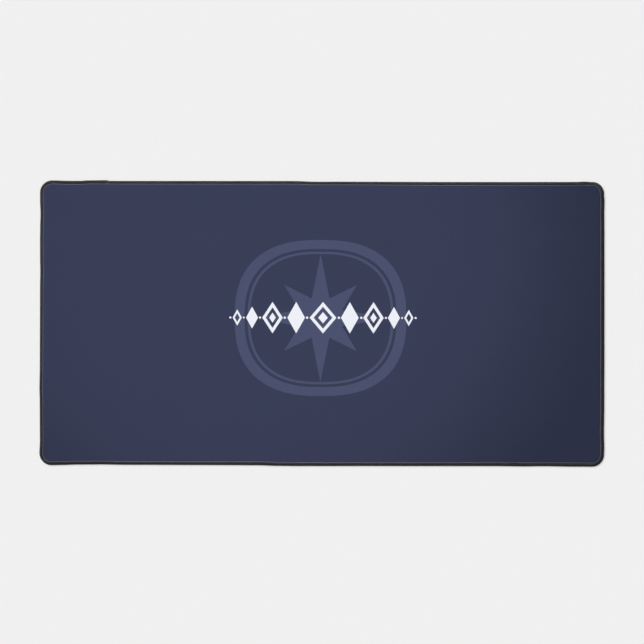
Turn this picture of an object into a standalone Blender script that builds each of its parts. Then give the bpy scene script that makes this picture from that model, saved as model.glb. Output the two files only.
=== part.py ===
"""Desk mat: printed cloth bonded to a foam rubber base, with a three-thread overlocked edge.

Metres, +Z up. The origin is at the middle of the footprint, on the desk. +X runs along the long
side and +Y towards the back edge. Each layer is a bevelled slab whose middle is stepped up or down
from its rim. Each looper thread is a cross-section (inset from the outer edge, height above the
desk) carried round the mat's outline, and it changes where the run of stitches laps over itself.

Run with: blender --background --python part.py
"""

import math

import bmesh
import bpy

# Outer edge of the stitched border, seen from above.
LENGTH = 0.800
WIDTH = 0.403
CORNER_RADIUS = 0.017
CORNER_STEPS = 12

# The three laminated layers, away from the border.
BASE_THICKNESS = 0.00240
FILM_THICKNESS = 0.00007
CLOTH_THICKNESS = 0.00047
LAYER_GAP = 0.00003

# The foam is squeezed to this thickness under the stitches.
BASE_THICKNESS_AT_RIM = 0.00147

# Overlock stitch: thread sizes, and where each line lies, measured inwards from the outer edge.
LOOPER_THICKNESS = 0.00042
NEEDLE_THREAD_DIAMETER = 0.00040
CUT_EDGE_INSET = 0.00050
LOOPER_INSET = 0.00430
NEEDLE_INSET = 0.00475
SHOULDER_FOOT_INSET = 0.00500
SHOULDER_TOP_INSET = 0.00590
STITCH_GAP = 0.00005

# The threads turn over the edge of the mat with roundings of this size.
EDGE_ROUNDING = 0.00063

# The lap on the back edge, where the end of the overlock run is sewn over its start.
LAP_START_X = -0.336
LAP_END_X = -0.309
LAP_RAMP_IN = 0.006
LAP_STEP_OUT = 0.0012
LAP_OUTWARDS = 0.00060
LAP_UPWARDS = 0.00025

# The needle thread's tube has eight sides.
NEEDLE_BEVEL_RESOLUTION = 2

# Edges that turn by more than this are shaded as creases.
CREASE_ANGLE = math.radians(30)

# Heights that follow from the sizes above.
FILM_BOTTOM = BASE_THICKNESS + LAYER_GAP
CLOTH_BOTTOM = FILM_BOTTOM + FILM_THICKNESS + LAYER_GAP
CLOTH_TOP = CLOTH_BOTTOM + CLOTH_THICKNESS
BASE_RIM_BOTTOM = LOOPER_THICKNESS + STITCH_GAP
BASE_RIM_TOP = BASE_RIM_BOTTOM + BASE_THICKNESS_AT_RIM
FILM_RIM_BOTTOM = BASE_RIM_TOP + LAYER_GAP
CLOTH_RIM_BOTTOM = FILM_RIM_BOTTOM + FILM_THICKNESS + LAYER_GAP
CLOTH_RIM_TOP = CLOTH_RIM_BOTTOM + CLOTH_THICKNESS
UPPER_LOOPER_BOTTOM = CLOTH_RIM_TOP + STITCH_GAP
UPPER_LOOPER_TOP = UPPER_LOOPER_BOTTOM + LOOPER_THICKNESS
LOOPERS_MEET = (BASE_RIM_BOTTOM + CLOTH_RIM_TOP) / 2
LOOPER_WALL_INSET = CUT_EDGE_INSET - STITCH_GAP

# Colour, roughness and metallic value of each kind of material.
CLOTH_LOOK = ((0.037, 0.044, 0.086, 1.0), 0.85, 0.0)
FILM_LOOK = ((0.74, 0.73, 0.69, 1.0), 0.50, 0.0)
RUBBER_LOOK = ((0.021, 0.021, 0.023, 1.0), 0.90, 0.0)
LOOPER_LOOK = ((0.009, 0.008, 0.009, 1.0), 0.50, 0.0)
NEEDLE_LOOK = ((0.225, 0.221, 0.233, 1.0), 0.60, 0.0)


def lap_share(x):
    """How much of the lap's extra thread there is at x: 0 beside it, 1 on it."""
    rising = (x - (LAP_START_X - LAP_RAMP_IN)) / LAP_RAMP_IN
    falling = (LAP_END_X + LAP_STEP_OUT - x) / LAP_STEP_OUT
    return max(0.0, min(1.0, rising, falling))


def corner_arc(centre_x, centre_y, radius, start_turn):
    """A quarter circle, anticlockwise, from start_turn quarter turns."""
    points = []
    for step in range(CORNER_STEPS + 1):
        angle = (start_turn + step / CORNER_STEPS) * math.pi / 2
        x = centre_x + radius * math.cos(angle)
        y = centre_y + radius * math.sin(angle)
        points.append((x, y))
    return points


def outline(inset, outwards=0.0):
    """The rounded rectangle at an inset, anticlockwise from the front right corner.

    The back edge has four more points for the lap, which stands out there by outwards.
    """
    radius = CORNER_RADIUS - inset
    reach_x = LENGTH / 2 - CORNER_RADIUS
    reach_y = WIDTH / 2 - CORNER_RADIUS
    back_y = WIDTH / 2 - inset
    lap_xs = (LAP_END_X + LAP_STEP_OUT, LAP_END_X, LAP_START_X, LAP_START_X - LAP_RAMP_IN)
    points = corner_arc(reach_x, -reach_y, radius, -1)
    points += corner_arc(reach_x, reach_y, radius, 0)
    points += [(x, back_y + outwards * lap_share(x)) for x in lap_xs]
    points += corner_arc(-reach_x, reach_y, radius, 1)
    points += corner_arc(-reach_x, -reach_y, radius, 2)
    return points


def add_loop(bm, inset, height, outwards=0.0, upwards=0.0):
    """One closed loop of vertices at an inset and a height, raised by upwards at the lap."""
    back_y = WIDTH / 2 - inset
    vertices = []
    for x, y in outline(inset, outwards):
        lift = upwards * lap_share(x) if y >= back_y - STITCH_GAP else 0.0
        vertices.append(bm.verts.new((x, y, height + lift)))
    return vertices


def material_from(name, look):
    colour, roughness, metallic = look
    material = bpy.data.materials.new(name)
    material.use_nodes = True
    shader = material.node_tree.nodes["Principled BSDF"]
    shader.inputs["Base Color"].default_value = colour
    shader.inputs["Roughness"].default_value = roughness
    shader.inputs["Metallic"].default_value = metallic
    material.diffuse_color = colour
    return material


def finish_object(bm, name, look, collection):
    if bm.calc_volume(signed=True) < 0.0:
        bmesh.ops.reverse_faces(bm, faces=bm.faces)
    mesh = bpy.data.meshes.new(name)
    bm.to_mesh(mesh)
    bm.free()
    mesh.materials.append(material_from(name, look))
    mesh.shade_smooth()
    mesh.set_sharp_from_angle(angle=CREASE_ANGLE)
    collection.objects.link(bpy.data.objects.new(name, mesh))


def rounded_slab(bottom, top):
    """A slab as large as the layers are cut, with its four upright edges rounded."""
    bm = bmesh.new()
    bmesh.ops.create_cube(bm, size=1.0)
    size = (LENGTH - 2 * CUT_EDGE_INSET, WIDTH - 2 * CUT_EDGE_INSET, top - bottom)
    bmesh.ops.scale(bm, vec=size, verts=bm.verts)
    bmesh.ops.translate(bm, vec=(0.0, 0.0, (bottom + top) / 2), verts=bm.verts)
    upright = [edge for edge in bm.edges if edge.verts[0].co.z != edge.verts[1].co.z]
    bmesh.ops.bevel(
        bm,
        geom=upright,
        offset=CORNER_RADIUS - CUT_EDGE_INSET,
        segments=CORNER_STEPS,
        profile=0.5,
        affect="EDGES",
    )
    return bm


def step_middle(bm, face, height):
    """Insets a flat face to the shoulder, and moves what is inside the shoulder to a height."""
    for thickness in (SHOULDER_FOOT_INSET - CUT_EDGE_INSET, SHOULDER_TOP_INSET - SHOULDER_FOOT_INSET):
        bmesh.ops.inset_region(bm, faces=[face], thickness=thickness, use_even_offset=True)
    for vertex in face.verts:
        vertex.co.z = height


def add_layer(name, middle, rim, look, collection):
    """A layer, from its bottom and top in the middle and those of its rim under the stitches."""
    bm = rounded_slab(*rim)
    bm.normal_update()
    underside = min(bm.faces, key=lambda face: face.normal.z)
    upper_side = max(bm.faces, key=lambda face: face.normal.z)
    step_middle(bm, underside, middle[0])
    step_middle(bm, upper_side, middle[1])
    finish_object(bm, name, look, collection)


def add_rubber_base(collection):
    middle = (0.0, BASE_THICKNESS)
    rim = (BASE_RIM_BOTTOM, BASE_RIM_TOP)
    add_layer("rubber_base", middle, rim, RUBBER_LOOK, collection)


def add_bond_film(collection):
    middle = (FILM_BOTTOM, FILM_BOTTOM + FILM_THICKNESS)
    rim = (FILM_RIM_BOTTOM, FILM_RIM_BOTTOM + FILM_THICKNESS)
    add_layer("bond_film", middle, rim, FILM_LOOK, collection)


def add_top_cloth(collection):
    middle = (CLOTH_BOTTOM, CLOTH_TOP)
    rim = (CLOTH_RIM_BOTTOM, CLOTH_RIM_TOP)
    add_layer("top_cloth", middle, rim, CLOTH_LOOK, collection)


def add_band(name, section, look, collection):
    """A looper thread's band: a closed section, lofted round the outline and changed at the lap.

    Each point of the section is inset, height, outwards, upwards, where the last two say how far
    the point moves on the lap.
    """
    bm = bmesh.new()
    loops = [add_loop(bm, *point) for point in section]
    for here, there in zip(loops, loops[1:] + loops[:1]):
        pairs = list(zip(here, there))
        for (a, b), (d, c) in zip(pairs, pairs[1:] + pairs[:1]):
            bm.faces.new((a, d, c, b))
    finish_object(bm, name, look, collection)


def add_upper_looper(collection):
    """The thread over the top of the rim, and down the edge to the lower looper thread."""
    top = UPPER_LOOPER_TOP
    bottom = UPPER_LOOPER_BOTTOM
    meet = LOOPERS_MEET + STITCH_GAP
    wall = LOOPER_WALL_INSET
    out = LAP_OUTWARDS
    up = LAP_UPWARDS
    section = [
        (wall, bottom, 0.0, 0.0),
        (LOOPER_INSET, bottom, 0.0, 0.0),
        (LOOPER_INSET, (bottom + top) / 2, 0.0, 0.0),
        (LOOPER_INSET - LOOPER_THICKNESS, top, 0.0, up),
        (2 * EDGE_ROUNDING, top, out, up),
        (LOOPER_THICKNESS, bottom, out, up),
        (0.0, bottom - EDGE_ROUNDING, out, 0.0),
        (0.0, meet, out, 0.0),
        (wall, meet, 0.0, 0.0),
    ]
    add_band("upper_looper_thread", section, LOOPER_LOOK, collection)


def add_lower_looper(collection):
    """The thread across the underside of the rim, and up the edge to the upper looper thread."""
    top = LOOPER_THICKNESS
    meet = LOOPERS_MEET - STITCH_GAP
    wall = LOOPER_WALL_INSET
    out = LAP_OUTWARDS
    section = [
        (wall, top, 0.0, 0.0),
        (wall, meet, 0.0, 0.0),
        (0.0, meet, out, 0.0),
        (0.0, EDGE_ROUNDING, out, 0.0),
        (EDGE_ROUNDING, 0.0, out, 0.0),
        (LOOPER_INSET, 0.0, 0.0, 0.0),
        (LOOPER_INSET, top, 0.0, 0.0),
    ]
    add_band("lower_looper_thread", section, LOOPER_LOOK, collection)


def add_needle_thread(collection):
    """The line of needle stitches, lying in the furrow between the looper thread and the shoulder."""
    radius = NEEDLE_THREAD_DIAMETER / 2
    curve = bpy.data.curves.new("needle_thread", "CURVE")
    curve.dimensions = "3D"
    curve.bevel_depth = radius
    curve.bevel_resolution = NEEDLE_BEVEL_RESOLUTION
    points = outline(NEEDLE_INSET)
    spline = curve.splines.new("POLY")
    spline.points.add(len(points) - 1)
    spline.use_cyclic_u = True
    for point, (x, y) in zip(spline.points, points):
        point.co = (x, y, UPPER_LOOPER_BOTTOM + radius, 1.0)
    curve.materials.append(material_from("needle_thread", NEEDLE_LOOK))
    collection.objects.link(bpy.data.objects.new("needle_thread", curve))


def clear_scene():
    for thing in list(bpy.data.objects):
        bpy.data.objects.remove(thing, do_unlink=True)


def main():
    clear_scene()
    collection = bpy.data.collections.new("desk_mat")
    bpy.context.scene.collection.children.link(collection)
    add_rubber_base(collection)
    add_bond_film(collection)
    add_top_cloth(collection)
    add_lower_looper(collection)
    add_upper_looper(collection)
    add_needle_thread(collection)


main()
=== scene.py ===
import math

import bpy
import numpy as np
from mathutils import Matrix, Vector
from mathutils.geometry import delaunay_2d_cdt


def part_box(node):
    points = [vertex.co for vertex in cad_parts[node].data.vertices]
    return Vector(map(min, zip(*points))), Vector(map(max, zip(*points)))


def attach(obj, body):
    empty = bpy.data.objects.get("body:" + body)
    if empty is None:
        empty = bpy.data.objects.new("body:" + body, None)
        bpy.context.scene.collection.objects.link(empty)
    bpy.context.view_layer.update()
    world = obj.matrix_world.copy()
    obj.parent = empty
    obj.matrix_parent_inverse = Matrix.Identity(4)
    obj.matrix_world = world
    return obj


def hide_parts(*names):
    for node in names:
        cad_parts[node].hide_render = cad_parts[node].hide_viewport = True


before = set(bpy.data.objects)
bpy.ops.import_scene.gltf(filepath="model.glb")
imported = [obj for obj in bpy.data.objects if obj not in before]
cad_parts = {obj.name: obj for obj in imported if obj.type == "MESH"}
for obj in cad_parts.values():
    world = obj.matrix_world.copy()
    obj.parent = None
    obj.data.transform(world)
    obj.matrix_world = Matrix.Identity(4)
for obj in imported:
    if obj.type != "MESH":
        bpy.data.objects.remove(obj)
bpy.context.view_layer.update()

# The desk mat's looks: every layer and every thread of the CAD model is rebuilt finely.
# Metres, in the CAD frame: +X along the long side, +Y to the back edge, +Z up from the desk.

MM = 0.001
SEED = 7

# ---------------------------------------------------------------- sizes from the frame

LOOPER_LOW, LOOPER_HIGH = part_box("lower_looper_thread")
CLOTH_LOW, CLOTH_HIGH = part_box("top_cloth")
FILM_LOW, FILM_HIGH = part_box("bond_film")
NEEDLE_LOW, NEEDLE_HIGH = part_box("needle_thread")
BASE_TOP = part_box("rubber_base")[1][2]

HALF_X = LOOPER_HIGH[0]
HALF_Y = -LOOPER_LOW[1]
CUT_INSET = HALF_X - CLOTH_HIGH[0]
NEEDLE_INSET = HALF_X - (NEEDLE_HIGH[0] - (NEEDLE_HIGH[2] - NEEDLE_LOW[2]) / 2)
CLOTH_TOP = CLOTH_HIGH[2]
CLOTH_RIM_BOTTOM = CLOTH_LOW[2]

# ---------------------------------------------------------------- the mat's own sizes

# An inset is a distance inwards from the outer edge of the hem.
CORNER_RADIUS = 17 * MM
CLOTH_THICKNESS = 0.47 * MM
FILM_THICKNESS = 0.07 * MM
LAYER_GAP = 0.03 * MM

# The stitches squeeze the foam, so the layers step down under them and the underside steps up.
SHOULDER_FOOT = 5.0 * MM
SHOULDER_TOP = 5.9 * MM
BASE_RIM_LIFT = 0.47 * MM
# How far the squeezed foam bulges out of the cut edge.
CUT_BULGE = 0.06 * MM

STITCH_PITCH = 1.5 * MM

# ---------------------------------------------------------------- the outline

STRAIGHT_X = 2 * (HALF_X - CORNER_RADIUS)
STRAIGHT_Y = 2 * (HALF_Y - CORNER_RADIUS)
ARC = CORNER_RADIUS * math.pi / 2
PERIMETER = 2 * (STRAIGHT_X + STRAIGHT_Y) + 4 * ARC

# The outline runs clockwise from the left end of the back edge. Each side is a straight run and then
# the arc of the corner after it. SIDE_STARTS are the distances round the outline where they begin.
BACK, RIGHT, FRONT, LEFT = range(4)
SIDE_LENGTHS = (STRAIGHT_X, STRAIGHT_Y, STRAIGHT_X, STRAIGHT_Y)
SIDE_STARTS = tuple(sum(SIDE_LENGTHS[:i]) + i * ARC for i in range(4))

# How the hem wanders: (distance from the middle of the side, displacement outwards), in mm.
# The distance runs along +X on the back and front sides and along +Y on the right and left ones.
HEM_SWAY = {
    BACK: (
        (-383, 0.45), (-358, -0.12), (-285, -0.05), (-150, 0.20), (-40, 0.45), (-10, -0.45),
        (25, -0.27), (165, -0.33), (250, -0.15), (345, 0.15), (360, 0.30), (371, 0.80), (383, 0.20),
    ),
    RIGHT: (
        (184, -0.80), (174, -0.20), (158, -0.50), (130, -0.25), (60, 0.00),
        (-60, 0.25), (-120, 0.20), (-154, -0.08), (-176, 0.40), (-184, 0.10),
    ),
    FRONT: (
        (383, 0.50), (350, 0.45), (315, 0.00), (286, 0.35), (245, 0.05), (100, 0.30), (-35, 0.65),
        (-60, 0.50), (-92, -0.30), (-160, -0.40), (-280, -0.50), (-312, -0.85), (-345, -0.60),
        (-372, 0.10), (-383, 0.40),
    ),
    LEFT: (
        (-184, 0.25), (-168, -0.37), (-140, -0.17), (-112, 0.00), (-92, 0.45), (-62, 0.05),
        (50, 0.00), (73, -0.30), (92, 0.10), (118, 0.20), (135, 0.05), (155, -0.40),
        (174, 0.33), (184, 0.33),
    ),
}

# How much deeper than nominal the stitches bite into the mat, in the same way.
HEM_BITE = {
    BACK: (
        (-383, 0.50), (-350, 0.60), (-325, -0.20), (-290, 0.00), (50, 0.00), (180, 0.50), (383, 0.60),
    ),
    RIGHT: ((184, 0.90), (0, 1.00), (-184, 0.80)),
    FRONT: (
        (383, 0.90), (300, 1.00), (180, 0.70), (40, 0.60), (-90, 0.50), (-240, 0.10), (-383, 0.40),
    ),
    LEFT: ((-184, 0.10), (0, 0.00), (184, 0.10)),
}

# Between these insets the bite grows from nothing to all of it.
BITE_FROM = 1.0 * MM
BITE_FULL = 4.0 * MM


def along(side, distance):
    """The distance round the outline of a place on a side, given from the side's middle."""
    forward = distance if side in (BACK, LEFT) else -distance
    return SIDE_STARTS[side] + SIDE_LENGTHS[side] / 2 + forward


def knots_of(table):
    """A table's knots as (distance round the outline, value) in metres, with the ends joined up."""
    knots = []
    for side, places in table.items():
        knots += [(along(side, distance * MM), value * MM) for distance, value in places]
    knots.sort()
    first, last = knots[0], knots[-1]
    knots = [(last[0] - PERIMETER, last[1])] + knots + [(first[0] + PERIMETER, first[1])]
    return np.array(knots)


def eased(share):
    """A share of the way from 0 to 1, with a soft start and a soft stop."""
    share = np.clip(share, 0, 1)
    return share * share * (3 - 2 * share)


def between_knots(knots, t):
    """The knots' value at t, blended smoothly from each knot to the next."""
    t = np.mod(t, PERIMETER)
    index = np.clip(np.searchsorted(knots[:, 0], t) - 1, 0, len(knots) - 2)
    start, end = knots[index], knots[index + 1]
    share = eased((t - start[:, 0]) / (end[:, 0] - start[:, 0]))
    return start[:, 1] + (end[:, 1] - start[:, 1]) * share


SWAY_KNOTS = knots_of(HEM_SWAY)
BITE_KNOTS = knots_of(HEM_BITE)


def reach_out(t, inset, fade=1.0):
    """How far out of the inner rectangle a nominal inset lies at t. The cut edge follows the hem's
    sway alone, and from the stitches inwards everything is moved in by their bite as well. fade is
    how much of both it follows."""
    inset = np.asarray(inset, float)
    bitten = eased((inset - BITE_FROM) / (BITE_FULL - BITE_FROM))
    wander = between_knots(SWAY_KNOTS, t) - bitten * between_knots(BITE_KNOTS, t)
    return CORNER_RADIUS - inset + fade * wander


def core_and_normal(t):
    """For each distance t round the outline: the point of the inner rectangle that it belongs to,
    whose sides are the corner radius in from the edge, and the direction straight out from there."""
    t = np.mod(np.asarray(t, float), PERIMETER)
    core = np.zeros((len(t), 2))
    angle = np.zeros(len(t))
    x, y = STRAIGHT_X / 2, STRAIGHT_Y / 2
    corners = np.array([(-x, y), (x, y), (x, -y), (-x, -y)])
    for side in range(4):
        begin, finish = corners[side], corners[(side + 1) % 4]
        start, length = SIDE_STARTS[side], SIDE_LENGTHS[side]
        out_angle = math.pi / 2 * (1 - side)
        on_side = (t >= start) & (t <= start + length)
        share = ((t[on_side] - start) / length)[:, None]
        core[on_side] = begin + (finish - begin) * share
        angle[on_side] = out_angle
        on_arc = (t > start + length) & (t < start + length + ARC)
        core[on_arc] = finish
        angle[on_arc] = out_angle - (t[on_arc] - start - length) / CORNER_RADIUS
    normal = np.stack([np.cos(angle), np.sin(angle)], axis=1)
    return core, normal


def at_inset(t, inset, fade=1.0):
    """Points at an inset from the hem's outer edge. fade is how much of its wander they follow."""
    core, normal = core_and_normal(t)
    return core + normal * reach_out(t, inset, fade)[:, None]


# ---------------------------------------------------------------- meshes

# Points closer together than this, in mm, become one where a flat is triangulated.
MERGE_DISTANCE_MM = 1e-5


def mesh_object(name, points, faces, materials, face_materials=None, smooth=True):
    """A new object in the scene. face_materials gives each face's place in the list of materials."""
    mesh = bpy.data.meshes.new(name)
    mesh.from_pydata([tuple(map(float, p)) for p in points], [], [tuple(map(int, f)) for f in faces])
    for material in materials:
        mesh.materials.append(material)
    if face_materials is not None:
        mesh.polygons.foreach_set("material_index", np.asarray(face_materials, np.int32))
    mesh.polygons.foreach_set("use_smooth", [smooth] * len(mesh.polygons))
    mesh.update()
    piece = bpy.data.objects.new(name, mesh)
    bpy.context.scene.collection.objects.link(piece)
    return piece


def loop_edges(count, first=0):
    """The edges of a closed loop of points, numbered on from the first."""
    return [(first + i, first + (i + 1) % count) for i in range(count)]


def triangulate(points, edges):
    """Triangles over flat points, along the edges given as pairs of their numbers: the places of
    the triangles' corners, the numbers of the points at each of them, and the triangles."""
    in_mm = [Vector((x / MM, y / MM)) for x, y in points]
    made, _, triangles, origins, _, _ = delaunay_2d_cdt(in_mm, edges, [], 0, MERGE_DISTANCE_MM)
    return np.array([tuple(v) for v in made]) * MM, origins, np.array(triangles)


def facing(points, triangles, downwards):
    """The triangles over these points, each turned to face up, or down."""
    ends = points[triangles]
    first, second = ends[:, 1] - ends[:, 0], ends[:, 2] - ends[:, 0]
    clockwise = first[:, 0] * second[:, 1] - first[:, 1] * second[:, 0] < 0
    return np.where((clockwise != downwards)[:, None], triangles[:, ::-1], triangles)


class Layers:
    """Collects closed rows of points round the mat, and fills, into one closed sheet."""

    def __init__(self):
        self.points = []
        self.faces = []
        self.kinds = []
        self.count = 0

    def row(self, flat_points, heights):
        """Adds points, at one height or at a height each, and gives back the first one's number."""
        start = self.count
        heights = np.broadcast_to(heights, (len(flat_points),))
        self.points.append(np.column_stack([flat_points, heights]))
        self.count += len(flat_points)
        return start

    def add(self, faces, kinds=0):
        self.faces.extend(faces.tolist())
        self.kinds.extend(np.broadcast_to(kinds, (len(faces),)).tolist())

    def strip(self, first_row, second_row, count):
        """Quads from a row to the next one, going outwards over the top, down, or back in below."""
        here = np.arange(count)
        after = (here + 1) % count
        corners = (first_row + here, first_row + after, second_row + after, second_row + here)
        self.add(np.stack(corners, axis=1))

    def rows(self, ring, levels, after=None):
        """Rows at each (inset, height) in turn, joined by strips, and also joined to a row that is
        already there, if one is given. Gives back the number of each row's first point."""
        starts = [] if after is None else [after]
        starts += [self.row(at_inset(ring, inset), height) for inset, height in levels]
        for one, following in zip(starts, starts[1:]):
            self.strip(one, following, len(ring))
        return starts

    def fill(self, ring_start, ring, inner, height, downwards=False, edges=(), kind_of=None):
        """Triangles over everything inside a ring that is already there, through the inner points and
        along the edges, which are pairs of numbers of inner points. The height is a number or a
        function of the flat points, and kind_of gives each triangle's material from its middle."""
        count = len(ring)
        all_edges = loop_edges(count) + [(a + count, b + count) for a, b in edges]
        made, origins, triangles = triangulate(np.vstack([ring, inner]), all_edges)
        number = np.zeros(len(made), int)
        extra = []
        for i, origin in enumerate(origins):
            from_ring = [o for o in origin if o < count]
            if from_ring:
                number[i] = ring_start + from_ring[0]
            else:
                number[i] = self.count + len(extra)
                extra.append(i)
        # Where the ring is hollow, the triangles outside it have all their corners on it.
        on_ring = number < ring_start + count
        triangles = triangles[~on_ring[triangles].all(axis=1)]
        self.row(made[extra], height(made[extra]) if callable(height) else height)
        kinds = kind_of(made[triangles].mean(axis=1)) if kind_of else 0
        self.add(number[facing(made, triangles, downwards)], kinds)

    def piece(self, name, materials):
        return mesh_object(name, np.vstack(self.points), self.faces, materials, self.kinds)


def multiples(spacing, reach):
    """The multiples of a spacing from minus the reach to the reach."""
    most = math.floor(reach / spacing)
    return np.arange(-most, most + 1) * spacing


def grid_points(spacing, inset):
    """A regular grid of points inside the outline, at least inset from its edge."""
    gx, gy = np.meshgrid(multiples(spacing, HALF_X - inset), multiples(spacing, HALF_Y - inset))
    points = np.column_stack([gx.ravel(), gy.ravel()])
    past_x = np.maximum(np.abs(points[:, 0]) - STRAIGHT_X / 2, 0)
    past_y = np.maximum(np.abs(points[:, 1]) - STRAIGHT_Y / 2, 0)
    return points[np.hypot(past_x, past_y) <= CORNER_RADIUS - inset]


# ---------------------------------------------------------------- the print

# Generic ornament: a star in a medallion with two bands, each from and to a share of its reach.
MEDALLION_CENTRE = (-2.2 * MM, 7.8 * MM)
MEDALLION_REACH = (121.5 * MM, 110.5 * MM)
MEDALLION_POWER = 2.5
MEDALLION_STEPS = 160
BANDS = ((0.885, 1.0), (0.820, 0.850))
# The star's long points, the shorter ones between them and the notches, as shares of that reach.
STAR_LONG = 0.82
STAR_SHORT = 0.60
STAR_WAIST = 0.27
STAR_CORNERS = 16

# The row of lozenges across it: the distance of each from the row's middle, its half width and its
# half height, in mm, and the size of its hole and of the lozenge in the hole, as shares of its own.
ROW_CENTRE = (1.3 * MM, 8.2 * MM)
LOZENGES = (
    (0, 19.0, 22.2, (0.70, 0.36)),
    (38.0, 12.5, 22.2, ()),
    (71.5, 14.5, 22.2, (0.66, 0.32)),
    (100.5, 8.5, 15.5, ()),
    (121.5, 6.5, 11.5, (0.55,)),
)
# The beads between them: the distance from the row's middle and the radius, in mm.
BEADS = ((22.6, 1.7), (54.2, 1.7), (89.2, 1.5), (112.2, 1.3), (131.2, 1.5))
BEAD_STEPS = 16


def lozenge(distance, half_width, half_height):
    cx, cy = ROW_CENTRE
    x, w, h = cx + distance * MM, half_width * MM, half_height * MM
    return [(x - w, cy), (x, cy - h), (x + w, cy), (x, cy + h)]


def bead(distance, radius):
    cx, cy = ROW_CENTRE
    x, r = cx + distance * MM, radius * MM
    turns = [2 * math.pi * i / BEAD_STEPS for i in range(BEAD_STEPS)]
    return [(x + r * math.cos(a), cy + r * math.sin(a)) for a in turns]


def cushion(share):
    """The medallion's outline, between an ellipse and a rectangle, at a share of its reach."""
    (cx, cy), (reach_x, reach_y) = MEDALLION_CENTRE, MEDALLION_REACH
    points = []
    for i in range(MEDALLION_STEPS):
        angle = 2 * math.pi * i / MEDALLION_STEPS
        across, up = math.cos(angle), math.sin(angle)
        x = math.copysign(abs(across) ** (2 / MEDALLION_POWER), across)
        y = math.copysign(abs(up) ** (2 / MEDALLION_POWER), up)
        points.append((cx + share * reach_x * x, cy + share * reach_y * y))
    return points


def star():
    """A star of four long points and four shorter ones between them."""
    (cx, cy), (reach_x, reach_y) = MEDALLION_CENTRE, MEDALLION_REACH
    points = []
    for i in range(STAR_CORNERS):
        angle = i * 2 * math.pi / STAR_CORNERS
        share = STAR_WAIST if i % 2 else STAR_SHORT if i % 4 else STAR_LONG
        points.append((cx + share * reach_x * math.cos(angle), cy + share * reach_y * math.sin(angle)))
    return points


# A shape is a list of loops: its outline, then the outline of its hole and of what is in the hole.


def slate_shapes():
    return [[star()]] + [[cushion(outer), cushion(inner)] for inner, outer in BANDS]


def white_shapes():
    shapes = []
    for distance, half_width, half_height, shares in LOZENGES:
        for side in (-1, 1) if distance else (1,):
            sizes = (1.0,) + shares
            shapes.append([lozenge(side * distance, half_width * s, half_height * s) for s in sizes])
    for distance, radius in BEADS:
        for side in (-1, 1):
            shapes.append([bead(side * distance, radius)])
    return shapes


def inside(loops, points):
    """Which points are inside the loops, by the even-odd rule."""
    found = np.zeros(len(points), bool)
    px, py = points[:, 0], points[:, 1]
    for loop in loops:
        for (ax, ay), (bx, by) in zip(loop, loop[1:] + loop[:1]):
            if ay == by:
                continue
            crosses = (ay > py) != (by > py)
            found ^= crosses & (px < (bx - ax) * (py - ay) / (by - ay) + ax)
    return found


def print_kind(points):
    """0 for the plain ground, 1 for the slate figure, 2 for the white ornament."""
    kinds = np.zeros(len(points), int)
    for kind, shapes in ((1, slate_shapes()), (2, white_shapes())):
        for loops in shapes:
            kinds[inside(loops, points)] = kind
    return kinds


def print_outlines():
    """The print's outlines as points and edges, for the cloth's mesh to follow."""
    points, edges = [], []
    for loops in slate_shapes() + white_shapes():
        for loop in loops:
            edges += loop_edges(len(loop), len(points))
            points += loop
    return np.array(points), edges


# ---------------------------------------------------------------- materials

NAVY = (0.0367, 0.0436, 0.0861)
SLATE = (0.0630, 0.0743, 0.1400)
WHITE = (0.7800, 0.7950, 0.8500)
LOOPER_BLACK = (0.0090, 0.0082, 0.0092)
# The needle thread's grey is partly its own colour, lighter than the loopers', and partly a painted
# highlight: the light that its raised line round the mat catches.
NEEDLE_GREY_AND_PAINTED_HIGHLIGHT = (0.2250, 0.2210, 0.2330)
RUBBER_BLACK = (0.021, 0.021, 0.023)
FILM_MILK = (0.74, 0.73, 0.69)

YARN_PITCH = 0.50 * MM
PLIES = 2
PLY_PITCH = 0.9 * MM
# How strong the bump of the loose fibres is next to that of the yarns and of the plies, and by what
# share the colour is lighter on a ply and darker between two: painted light on the plies and painted
# shade in the grooves between them.
CLOTH_FUZZ = 1.5
THREAD_FUZZ = 1.6
PLY_SHADE = 0.16
# The scale of a noise or of cells is how many there are in a metre. A noise keeps mostly between
# these two values.
NOISE_LOW = 0.3
NOISE_HIGH = 0.7
# How far round and how far along its thread each corner of a thread's faces is.
WINDING = "winding"


def add_node(tree, kind, **values):
    """A new node in a tree. Each value goes to the input of that name, or else to the node itself."""
    made = tree.nodes.new(kind)
    for name, value in values.items():
        if name in made.inputs:
            made.inputs[name].default_value = value
        else:
            setattr(made, name, value)
    return made


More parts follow.
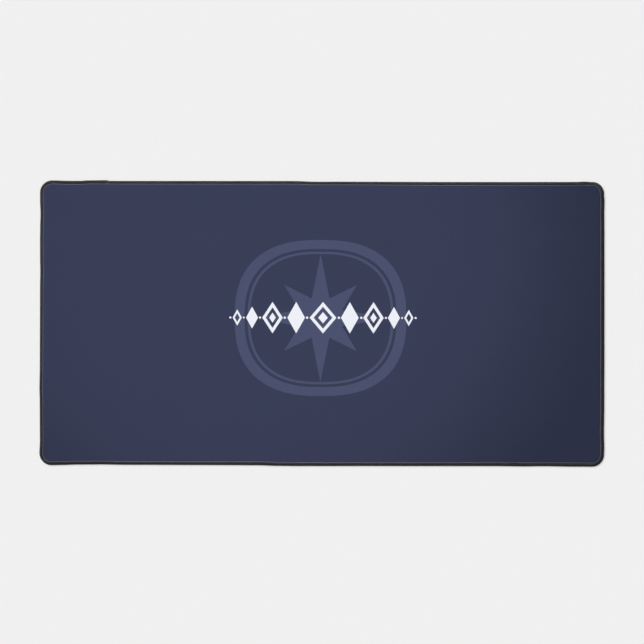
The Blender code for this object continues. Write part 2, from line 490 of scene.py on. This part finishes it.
class Look:
    """A procedural material. Its methods add nodes, and most give back the output that they make."""

    def __init__(self, name):
        self.material = bpy.data.materials.new(name)
        self.material.use_nodes = True
        self.tree = self.material.node_tree
        self.shader = self.tree.nodes["Principled BSDF"]

    def link(self, output, socket):
        self.tree.links.new(output, socket)

    def coordinates(self):
        return add_node(self.tree, "ShaderNodeTexCoord").outputs["Object"]

    def attribute(self, name):
        return add_node(self.tree, "ShaderNodeAttribute", attribute_name=name).outputs["Vector"]

    def parts(self, vector):
        """The X, Y and Z of a vector."""
        made = add_node(self.tree, "ShaderNodeSeparateXYZ")
        self.link(vector, made.inputs[0])
        return made.outputs

    def calculate(self, operation, *values):
        """One step of arithmetic on numbers and outputs."""
        made = add_node(self.tree, "ShaderNodeMath", operation=operation)
        for socket, value in zip(made.inputs, values):
            if isinstance(value, (int, float)):
                socket.default_value = value
            else:
                self.link(value, socket)
        return made.outputs[0]

    def wave(self, distance, pitch):
        """A wave that repeats each pitch along a distance."""
        return self.calculate("SINE", self.calculate("MULTIPLY", distance, 2 * math.pi / pitch))

    def noise(self, where, scale, detail=2.0):
        made = add_node(self.tree, "ShaderNodeTexNoise", Scale=scale, Detail=detail)
        self.link(where, made.inputs["Vector"])
        return made.outputs["Fac"]

    def spread(self, value, low, high):
        """A noise's value, stretched to go from low to high."""
        ends = {"From Min": NOISE_LOW, "From Max": NOISE_HIGH, "To Min": low, "To Max": high}
        made = add_node(self.tree, "ShaderNodeMapRange", **ends)
        self.link(value, made.inputs["Value"])
        return made.outputs["Result"]

    def set_colour(self, colour, factor):
        """The base colour: one colour, times a factor that varies."""
        made = add_node(self.tree, "ShaderNodeVectorMath", operation="SCALE")
        made.inputs[0].default_value = colour
        self.link(factor, made.inputs["Scale"])
        self.link(made.outputs["Vector"], self.shader.inputs["Base Color"])

    def set_roughness(self, where, scale, low, high):
        """Roughness that varies between two values."""
        self.link(self.spread(self.noise(where, scale), low, high), self.shader.inputs["Roughness"])

    def set_bump(self, height, strength, distance):
        made = add_node(self.tree, "ShaderNodeBump", Strength=strength, Distance=distance)
        self.link(height, made.inputs["Height"])
        self.link(made.outputs["Normal"], self.shader.inputs["Normal"])

    def set_plain(self, socket, value):
        """One of the shader's own values, the same all over."""
        self.shader.inputs[socket].default_value = value


def cloth_material(name, colour, mottle=0.05):
    """Fine polyester weave: crossed waves for the yarns, faint mottling of the dye, soft sheen."""
    look = Look(name)
    where = look.coordinates()
    x, y, _ = look.parts(where)
    weave = look.calculate("MULTIPLY", look.wave(x, YARN_PITCH), look.wave(y, YARN_PITCH))
    fuzz = look.calculate("MULTIPLY", look.noise(where, scale=2600.0, detail=3.0), CLOTH_FUZZ)
    look.set_bump(look.calculate("ADD", weave, fuzz), strength=0.5, distance=0.04 * MM)
    speckle = look.spread(look.noise(where, scale=900.0), -mottle, mottle)
    cloud = look.spread(look.noise(where, scale=14.0, detail=3.0), 1 - mottle / 4, 1 + mottle / 4)
    look.set_colour(colour, look.calculate("ADD", speckle, cloud))
    look.set_roughness(where, scale=400.0, low=0.62, high=0.70)
    look.set_plain("Specular IOR Level", 0.10)
    look.set_plain("Sheen Weight", 0.02)
    look.set_plain("Sheen Roughness", 0.5)
    return look.material


def thread_material(name, colour, roughness, specular):
    """Textured polyester thread: two plies wound round each other, of loose bundles of filament."""
    look = Look(name)
    where = look.coordinates()
    turn, run, _ = look.parts(look.attribute(WINDING))
    round_it = look.calculate("MULTIPLY", turn, PLIES * 2 * math.pi)
    along_it = look.calculate("MULTIPLY", run, 2 * math.pi / PLY_PITCH)
    plies = look.calculate("SINE", look.calculate("ADD", round_it, along_it))
    fuzz = look.calculate("MULTIPLY", look.noise(where, scale=5000.0, detail=3.0), THREAD_FUZZ)
    look.set_bump(look.calculate("ADD", plies, fuzz), strength=0.7, distance=0.05 * MM)
    # The colour is lighter on each ply and darker in the groove between two: painted light and painted
    # shade from the plies' relief.
    painted_ply_shading = look.calculate("ADD", look.calculate("MULTIPLY", plies, PLY_SHADE), 1.0)
    filaments = look.spread(look.noise(where, scale=3500.0, detail=3.0), low=0.78, high=1.22)
    patches = look.spread(look.noise(where, scale=60.0), low=0.90, high=1.10)
    varied = look.calculate("MULTIPLY", filaments, patches)
    look.set_colour(colour, look.calculate("MULTIPLY", varied, painted_ply_shading))
    look.set_roughness(where, scale=1500.0, low=roughness - 0.06, high=roughness + 0.06)
    look.set_plain("Specular IOR Level", specular)
    look.set_plain("Sheen Weight", 0.05)
    look.set_plain("Sheen Roughness", 0.4)
    return look.material


def rubber_material():
    """Open-cell foam rubber: near black, with fine pores and a dull bloom."""
    look = Look("foam_rubber")
    where = look.coordinates()
    cells = add_node(look.tree, "ShaderNodeTexVoronoi", Scale=2200.0)
    look.link(where, cells.inputs["Vector"])
    look.set_bump(cells.outputs["Distance"], strength=0.5, distance=0.04 * MM)
    bloom = look.spread(look.noise(where, scale=35.0, detail=4.0), low=0.80, high=1.25)
    look.set_colour(RUBBER_BLACK, bloom)
    look.set_roughness(where, scale=120.0, low=0.78, high=0.92)
    look.set_plain("Specular IOR Level", 0.35)
    return look.material


def film_material():
    """Hot-melt film: milky, faintly blotched where the glue took."""
    look = Look("hot_melt_film")
    where = look.coordinates()
    blotches = look.spread(look.noise(where, scale=80.0, detail=4.0), low=0.90, high=1.04)
    look.set_colour(FILM_MILK, blotches)
    look.set_roughness(where, scale=300.0, low=0.40, high=0.60)
    return look.material


# ---------------------------------------------------------------- the layers

# Rows of points round the mat have two to a stitch, and plainer layers take every so many of them.
STITCHES = round(PERIMETER / STITCH_PITCH)
RING_POINTS = 2 * STITCHES
RING = np.arange(RING_POINTS) * PERIMETER / RING_POINTS
FILM_RING = RING[::4]
BASE_RING = RING[::2]

GRID_INSET = 15 * MM
CLOTH_GRID = grid_points(5 * MM, GRID_INSET)
PLAIN_GRID = grid_points(20 * MM, GRID_INSET)

# The cloth's top from its cut edge inwards: the inset, the height below the flat, and how deep each
# stitch puckers it there, in mm. There is a furrow under the needle stitches.
CLOTH_PROFILE = (
    (0.50, 0.72, 0.00),
    (0.90, 0.66, 0.00),
    (1.80, 0.50, 0.00),
    (3.20, 0.40, 0.00),
    (4.10, 0.50, 0.00),
    (4.75, 0.64, 0.03),
    (5.15, 0.44, 0.05),
    (5.60, 0.24, 0.045),
    (6.20, 0.10, 0.03),
    (7.00, 0.03, 0.015),
    (8.00, 0.00, 0.00),
)
# Between that and the grid the points thin out, in rings: every how many of a row's points, the
# inset, and how much of the hem's wander is left.
THINNING = ((2, 9.5 * MM, 0.8), (4, 12 * MM, 0.5))
WAVINESS = 0.02 * MM


def cloth_height(points):
    """The flat of the cloth, with the faint waviness of a bonded sheet. The numbers are radians a
    metre, which gives waves of about 20 cm along the mat and 15 cm across it."""
    x, y = points[:, 0], points[:, 1]
    wave = np.sin(x * 31 + 1.3 * np.sin(y * 17)) * np.cos(y * 43 + x * 7)
    return CLOTH_TOP + WAVINESS * wave


def make_cloth(materials):
    """The printed cloth: the top inwards from the cut edge, and then the underside."""
    sheet = Layers()
    pucker = np.cos(RING / PERIMETER * STITCHES * 2 * math.pi)
    rows = []
    for inset, depth, pull in CLOTH_PROFILE:
        ring = at_inset(RING, inset * MM)
        rows.append(sheet.row(ring, CLOTH_TOP - depth * MM - pull * MM * pucker))
    for outer, inner in zip(rows, rows[1:]):
        sheet.strip(inner, outer, RING_POINTS)
    outlines, edges = print_outlines()
    thinning = [at_inset(RING[::step], inset, fade) for step, inset, fade in THINNING]
    inner = np.vstack([outlines] + thinning + [CLOTH_GRID])
    sheet.fill(rows[-1], ring, inner, cloth_height, edges=edges, kind_of=print_kind)
    # Down the cut edge, in to the shoulder, up to the film, and across.
    bottom = CLOTH_TOP - CLOTH_THICKNESS
    levels = (
        (CUT_INSET, CLOTH_RIM_BOTTOM),
        (SHOULDER_FOOT, CLOTH_RIM_BOTTOM),
        (SHOULDER_TOP, bottom),
    )
    under = sheet.rows(RING, levels, after=rows[0])
    sheet.fill(under[-1], at_inset(RING, SHOULDER_TOP), PLAIN_GRID, bottom, downwards=True)
    return sheet.piece("printed_cloth", materials)


def make_film(material):
    """The film: rows from the inner edge of its top round to that of its underside, and two caps."""
    rim_low, top = FILM_LOW[2], FILM_HIGH[2]
    levels = (
        (SHOULDER_TOP, top),
        (SHOULDER_FOOT, rim_low + FILM_THICKNESS),
        (CUT_INSET, rim_low + FILM_THICKNESS),
        (CUT_INSET, rim_low),
        (SHOULDER_FOOT, rim_low),
        (SHOULDER_TOP, top - FILM_THICKNESS),
    )
    sheet = Layers()
    rows = sheet.rows(FILM_RING, levels)
    shoulder = at_inset(FILM_RING, SHOULDER_TOP)
    sheet.fill(rows[0], shoulder, PLAIN_GRID, top)
    sheet.fill(rows[-1], shoulder, PLAIN_GRID, top - FILM_THICKNESS, downwards=True)
    return sheet.piece("bond_film_sheet", [material])


# The ribs under the base run along +X in zigzags, with a groove between each two. Across a rib and
# its groove: the share of the pitch, and how deep the groove is there.
RIB_PITCH = 3.2 * MM
GROOVE_DEPTH = 0.25 * MM
RIB_PROFILE = ((0.0, 0.0), (0.55, 0.0), (0.70, GROOVE_DEPTH), (0.85, 0.0))
ZIGZAG_STEP = 8.0 * MM
ZIGZAG_REACH = 3.0 * MM
RIB_MARGIN = 12 * MM


def add_ribs(sheet):
    """The field of ribs. Gives back the numbers of the points round its border, in order."""
    xs = multiples(ZIGZAG_STEP, HALF_X - RIB_MARGIN)
    columns = len(xs)
    zigzag = np.where(np.arange(columns) % 2, ZIGZAG_REACH, -ZIGZAG_REACH) / 2
    ribs = math.floor(2 * (HALF_Y - RIB_MARGIN - ZIGZAG_REACH) / RIB_PITCH)
    starts = []
    for rib in range(ribs):
        for share, depth in RIB_PROFILE:
            y = -ribs * RIB_PITCH / 2 + (rib + share) * RIB_PITCH
            heights = np.full(columns, depth)
            # A groove is closed at both ends.
            heights[[0, -1]] = 0.0
            starts.append(sheet.row(np.column_stack([xs, y + zigzag]), heights))
    number = np.array(starts)[:, None] + np.arange(columns)
    quads = np.stack([number[:-1, :-1], number[1:, :-1], number[1:, 1:], number[:-1, 1:]], axis=2)
    sheet.add(quads.reshape(-1, 4))
    return np.concatenate([number[0], number[1:, -1], number[-1, -2::-1], number[-2:0:-1, 0]])


def fill_margin(sheet, ring_start, ring, border):
    """The flat between a ring that is already there and the border of the ribs, facing down."""
    count = len(ring)
    points = np.vstack([ring, np.vstack(sheet.points)[border][:, :2]])
    made, origins, triangles = triangulate(points, loop_edges(count) + loop_edges(len(border), count))
    corners = np.array([origin[0] for origin in origins])[triangles]
    outside = (corners < count).all(axis=1)
    in_field = inside([points[count:].tolist()], made[triangles].mean(axis=1))
    corners = facing(points, corners[~outside & ~in_field], downwards=True)
    numbers = np.concatenate([ring_start + np.arange(count), border])
    sheet.add(numbers[corners])


def make_base(material):
    """The foam rubber, with anti-slip ribs moulded into its underside."""
    rim_low = LOOPER_LOW[2] + BASE_RIM_LIFT
    rim_top = FILM_LOW[2] - LAYER_GAP
    levels = (
        (SHOULDER_TOP, BASE_TOP),
        (SHOULDER_FOOT, rim_top),
        (CUT_INSET, rim_top),
        (CUT_INSET - CUT_BULGE, (rim_top + rim_low) / 2),
        (CUT_INSET, rim_low),
        (SHOULDER_FOOT, rim_low),
        (SHOULDER_TOP, 0.0),
    )
    sheet = Layers()
    rows = sheet.rows(BASE_RING, levels)
    shoulder = at_inset(BASE_RING, SHOULDER_TOP)
    sheet.fill(rows[0], shoulder, PLAIN_GRID, BASE_TOP)
    fill_margin(sheet, rows[-1], shoulder, add_ribs(sheet))
    return sheet.piece("foam_rubber_base", [material])


# ---------------------------------------------------------------- the overlock stitches

# The run of stitches starts on the back edge, goes once round clockwise, and laps over its start. It
# climbs out and up within LAP_CLIMB, and then leans out a little more until its end.
LAP_START = along(BACK, -336 * MM)
LAP_LENGTH = 30.5 * MM
LAP_CLIMB = 6 * MM
LAP_OUT = 0.60 * MM
LAP_OUT_AT_END = 1.00 * MM
LAP_UP = 0.30 * MM
ALL_STITCHES = STITCHES + round(LAP_LENGTH / STITCH_PITCH)

# The steps of a stitch of each thread: the share of the pitch, the inset and the height in mm, and
# the way that the thread's broad side faces in degrees, where 0 is out and 90 is up.
UPPER_STEPS = (
    (0.00, 0.24, 1.60, 0),
    (0.04, 0.36, 2.15, 28),
    (0.09, 0.85, 2.50, 60),
    (0.14, 1.80, 2.76, 75),
    (0.20, 3.10, 3.00, 92),
    (0.42, 4.70, 2.42, 108),
    (0.64, 3.10, 3.00, 92),
    (0.70, 1.80, 2.76, 75),
    (0.75, 0.85, 2.50, 60),
    (0.80, 0.36, 2.15, 28),
)
LOWER_STEPS = (
    (0.50, 0.24, 1.42, 0),
    (0.54, 0.34, 0.72, -20),
    (0.60, 1.00, 0.26, -65),
    (0.66, 2.60, 0.22, -90),
    (0.72, 4.10, 0.22, -90),
    (0.94, 4.72, 0.24, -90),
    (1.14, 4.10, 0.22, -90),
    (1.18, 2.60, 0.22, -90),
    (1.22, 1.00, 0.26, -65),
    (1.28, 0.34, 0.72, -20),
)
NEEDLE_STEPS = (
    (0.00, 4.74, 2.50, 90),
    (0.16, 4.72, 2.82, 90),
    (0.50, 4.70, 2.92, 90),
    (0.84, 4.72, 2.82, 90),
)

# The thread ends that are left where the run is cut off, from the last stitch: along the back
# edge, outwards and up, in mm.
LOOPER_TAIL = ((0.5, 0.35, -0.15), (1.1, 0.55, -0.55), (1.8, 0.50, -1.05), (2.6, 0.25, -1.45))
NEEDLE_TAIL = ((0.6, 0.25, 0.20), (1.2, 0.75, 0.42), (1.9, 1.35, 0.48), (2.6, 1.80, 0.38))

# The threads' width, thickness and unevenness, which is how far a stitch usually strays in or out,
# in mm.
UPPER_SECTION = (0.70, 0.40, 0.05)
LOWER_SECTION = (0.70, 0.38, 0.04)
NEEDLE_SECTION = (0.60, 0.44, 0.03)
THREAD_SIDES = 6

# A stitch also strays along the run, by this share of the pitch for each mm of unevenness, and up or
# down, by this much for each mm of it.
STRAY_ALONG = 0.6
STRAY_UP = 0.2
# Only what lies further in than TURNED_IN strays in and out, and only what lies higher than ON_TOP is
# lifted by the lap. The middle of a thread is never lower than LOWEST. All in mm.
TURNED_IN = 1.5
ON_TOP = 2.0
LOWEST = 0.20


def tube(name, path, up, width, thickness, material):
    """A closed tube along a path, flattened: width across it and thickness along up."""
    sides = THREAD_SIDES
    tangent = np.gradient(path, axis=0)
    tangent /= np.linalg.norm(tangent, axis=1)[:, None]
    across = np.cross(tangent, up)
    across /= np.linalg.norm(across, axis=1)[:, None]
    lift = np.cross(across, tangent)
    turns = (np.arange(sides) + 0.5) * 2 * math.pi / sides
    wide = across[:, None, :] * (np.cos(turns) * width / 2)[None, :, None]
    high = lift[:, None, :] * (np.sin(turns) * thickness / 2)[None, :, None]
    points = (path[:, None, :] + wide + high).reshape(-1, 3)
    count = len(path)
    starts = np.arange(count - 1)[:, None] * sides
    here = np.arange(sides)[None, :]
    after = (here + 1) % sides
    quads = np.stack([starts + here, starts + sides + here, starts + sides + after, starts + after], axis=2)
    faces = quads.reshape(-1, 4).tolist()
    faces.append(list(range(sides)))
    faces.append([(count - 1) * sides + i for i in reversed(range(sides))])
    piece = mesh_object(name, points, faces, [material])
    set_winding(piece, path)
    return piece


def set_winding(piece, path):
    """Each corner's share of a turn round the thread, and its distance along it. A quad's corners
    are in the same order as in the tube: this ring, the next ring twice, this ring."""
    sides, count = THREAD_SIDES, len(path)
    run = np.concatenate([[0], np.cumsum(np.linalg.norm(np.diff(path, axis=0), axis=1))])
    begin, end = np.repeat(run[:-1], sides), np.repeat(run[1:], sides)
    turn = np.tile(np.arange(sides) / sides, count - 1)
    next_turn = turn + 1 / sides
    flat = np.zeros_like(turn)
    corners = [(turn, begin, flat), (turn, end, flat), (next_turn, end, flat), (next_turn, begin, flat)]
    winding = np.stack([np.stack(corner, axis=1) for corner in corners], axis=1).reshape(-1, 3)
    caps = np.zeros((2 * sides, 3))
    attribute = piece.data.attributes.new(WINDING, "FLOAT_VECTOR", "CORNER")
    attribute.data.foreach_set("vector", np.vstack([winding, caps]).ravel())


def stitched_path(steps, unevenness, random):
    """A thread's path over all its stitches, and the way that its broad side faces at each point."""
    share, inset, height, lean = (np.tile(column, ALL_STITCHES) for column in np.array(steps, float).T)
    stitch = np.repeat(np.arange(ALL_STITCHES), len(steps))
    stray = unevenness * random.normal(0, 1, (ALL_STITCHES, 3))[stitch]
    t = LAP_START + (stitch + share + STRAY_ALONG * stray[:, 0]) * PERIMETER / STITCHES
    inset = (inset + stray[:, 1] * (inset > TURNED_IN)) * MM
    height = height + STRAY_UP * stray[:, 2]
    into_lap = t - (LAP_START + PERIMETER - LAP_CLIMB)
    lap = eased(into_lap / LAP_CLIMB)
    lap_out = LAP_OUT + (LAP_OUT_AT_END - LAP_OUT) * np.clip(into_lap / LAP_LENGTH, 0, 1)
    slim = np.clip(inset / NEEDLE_INSET, 0, 1)
    core, normal = core_and_normal(t)
    flat = core + normal * (reach_out(t, inset) + lap_out * lap * (1 - slim))[:, None]
    lifted = height * MM + LAP_UP * lap * (height > ON_TOP)
    lean = np.radians(lean)
    up = np.column_stack([normal * np.cos(lean)[:, None], np.sin(lean)])
    return np.column_stack([flat, np.maximum(lifted, LOWEST * MM)]), up


def make_thread(name, steps, tail, section, random, material):
    """One thread, in its stitches and then in its loose end, if it has one."""
    width, thickness, unevenness = section
    path, up = stitched_path(steps, unevenness, random)
    if tail:
        path = np.vstack([path, path[-1] + np.array(tail) * MM])
        up = np.vstack([up, np.repeat(up[-1:], len(tail), axis=0)])
    return tube(name, path, up, width * MM, thickness * MM, material)


def make_threads(looper, needle):
    """The three threads. Each draws its own random numbers, in this order."""
    random = np.random.default_rng(SEED)
    return (
        make_thread("upper_looper_stitches", UPPER_STEPS, LOOPER_TAIL, UPPER_SECTION, random, looper),
        make_thread("lower_looper_stitches", LOWER_STEPS, None, LOWER_SECTION, random, looper),
        make_thread("needle_stitches", NEEDLE_STEPS, NEEDLE_TAIL, NEEDLE_SECTION, random, needle),
    )


# ---------------------------------------------------------------- build

cloth_kinds = [
    cloth_material("cloth_navy", NAVY),
    cloth_material("cloth_slate", SLATE),
    cloth_material("cloth_white", WHITE, mottle=0.02),
]
cloth = make_cloth(cloth_kinds)
film = make_film(film_material())
base = make_base(rubber_material())
upper_thread, lower_thread, needle_thread = make_threads(
    thread_material("looper_thread", LOOPER_BLACK, roughness=0.46, specular=0.50),
    # The needle thread's colour carries a painted highlight as well as its own grey.
    thread_material("needle_thread", NEEDLE_GREY_AND_PAINTED_HIGHLIGHT, roughness=0.60, specular=0.25),
)

PIECES = (
    (cloth, "top_cloth", "printed_cloth"),
    (film, "bond_film", "hot_melt_film"),
    (base, "rubber_base", "foam_rubber"),
    (upper_thread, "upper_looper_thread", "looper_thread"),
    (lower_thread, "lower_looper_thread", "looper_thread"),
    (needle_thread, "needle_thread", "needle_thread"),
)
for piece, cad_node, finish in PIECES:
    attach(piece, "root")
    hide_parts(cad_node)

# ---------------------------------------------------------------- floor, light and camera

PALE = 0.92
FLOOR_HALF = 30.0
FLOOR_HEIGHT = -0.01 * MM

# The brightness of the light from all round, and of what the camera sees beyond the floor.
AMBIENT = 0.08
BACKDROP = 0.87
# Strengths are in watts a square metre for the key and the kicker, and in watts for the spot. Angles
# are in degrees, and the spot's reach is the radius of the circle that it lights.
KEY_STRENGTH = 3.174
KEY_DIRECTION = (-0.52, 0.28, 1.0)
KEY_ANGLE = 68
KEY_SHARE_ON_MAT = 0.697
KICKER_STRENGTH = 3.2
KICKER_DIRECTION = (-0.62, 0.52, 0.81)
KICKER_ANGLE = 8
SPOT_AT = (-0.10, 0.12)
SPOT_HEIGHT = 3.0
SPOT_REACH = 0.535
SPOT_BLEND = 0.80
SPOT_SIZE = 0.04
SPOT_POWER = 152.0

# The camera's lens and sensor in mm, the width that it takes in and its place over the mat in
# metres, and its turn in degrees.
LENS = 85.0
SENSOR = 36.0
FIELD = 0.91273
CAMERA_AT = (-0.0001, 0.00215)
CAMERA_TURN = 0.156


def make_floor():
    corners = [(-1, -1), (1, -1), (1, 1), (-1, 1)]
    points = [(x * FLOOR_HALF, y * FLOOR_HALF, FLOOR_HEIGHT) for x, y in corners]
    look = Look("pale_floor")
    look.set_plain("Base Color", (PALE, PALE, PALE, 1))
    look.set_plain("Roughness", 1.0)
    look.set_plain("Specular IOR Level", 0.0)
    floor = mesh_object("floor", points, [(0, 1, 2, 3)], [look.material], smooth=False)
    return floor


def make_world():
    """Soft even light from all round, which the camera sees as the same pale tone as the floor."""
    world = bpy.data.worlds.new("studio")
    bpy.context.scene.world = world
    world.use_nodes = True
    tree = world.node_tree
    tree.nodes.clear()
    fill = add_node(tree, "ShaderNodeBackground", Color=(1, 1, 1, 1), Strength=AMBIENT)
    seen = add_node(tree, "ShaderNodeBackground", Color=(1, 1, 1, 1), Strength=BACKDROP)
    rays = add_node(tree, "ShaderNodeLightPath")
    mix = add_node(tree, "ShaderNodeMixShader")
    output = add_node(tree, "ShaderNodeOutputWorld")
    tree.links.new(rays.outputs["Is Camera Ray"], mix.inputs[0])
    tree.links.new(fill.outputs[0], mix.inputs[1])
    tree.links.new(seen.outputs[0], mix.inputs[2])
    tree.links.new(mix.outputs[0], output.inputs["Surface"])


def light_only(lamp, pieces):
    """Makes a lamp light these pieces and nothing else."""
    lit = bpy.data.collections.new("lit_by_" + lamp.name)
    for piece in pieces:
        lit.objects.link(piece)
    lamp.light_linking.receiver_collection = lit


def make_sun(name, strength, angle, direction, pieces):
    """A far lamp that shines from a direction on these pieces alone."""
    data = bpy.data.lights.new(name, "SUN")
    data.energy = strength
    data.angle = math.radians(angle)
    sun = bpy.data.objects.new(name, data)
    sun.rotation_mode = "QUATERNION"
    sun.rotation_quaternion = Vector(direction).to_track_quat("Z", "Y")
    bpy.context.scene.collection.objects.link(sun)
    light_only(sun, pieces)
    return sun


def make_spot(pieces):
    """A wide soft spot that makes the mat fall off to the right and the front."""
    data = bpy.data.lights.new("spot", "SPOT")
    data.energy = SPOT_POWER
    data.shadow_soft_size = SPOT_SIZE
    data.spot_size = 2 * math.atan(SPOT_REACH / SPOT_HEIGHT)
    data.spot_blend = SPOT_BLEND
    spot = bpy.data.objects.new("spot", data)
    spot.location = (*SPOT_AT, SPOT_HEIGHT)
    spot.visible_glossy = False
    bpy.context.scene.collection.objects.link(spot)
    light_only(spot, pieces)


def make_lights(floor):
    """One large soft key from the back left, which the spot tops up over most of the mat, so that
    the mat has a falloff and the floor hasn't; and a raking light on the stitching."""
    pieces = [piece for piece, _, _ in PIECES]
    keys = (("key_on_floor", 1.0, [floor]), ("key_on_mat", KEY_SHARE_ON_MAT, pieces))
    for name, share, lit in keys:
        key = make_sun(name, KEY_STRENGTH * share, KEY_ANGLE, KEY_DIRECTION, lit)
        key.visible_glossy = False
    loopers = [upper_thread, lower_thread]
    make_sun("kicker", KICKER_STRENGTH, KICKER_ANGLE, KICKER_DIRECTION, loopers)
    make_spot(pieces)


def make_camera():
    """Straight down, turned a hair, and as far off as it takes to see the width of the field."""
    data = bpy.data.cameras.new("camera")
    data.lens, data.sensor_width = LENS, SENSOR
    camera = bpy.data.objects.new("camera", data)
    distance = FIELD / 2 / (SENSOR / 2 / LENS)
    camera.location = (*CAMERA_AT, CLOTH_TOP / 2 + distance)
    camera.rotation_euler = (0, 0, math.radians(CAMERA_TURN))
    bpy.context.scene.collection.objects.link(camera)
    bpy.context.scene.camera = camera


floor = make_floor()
make_world()
make_lights(floor)
make_camera()
bpy.context.scene.view_settings.view_transform = "Standard"
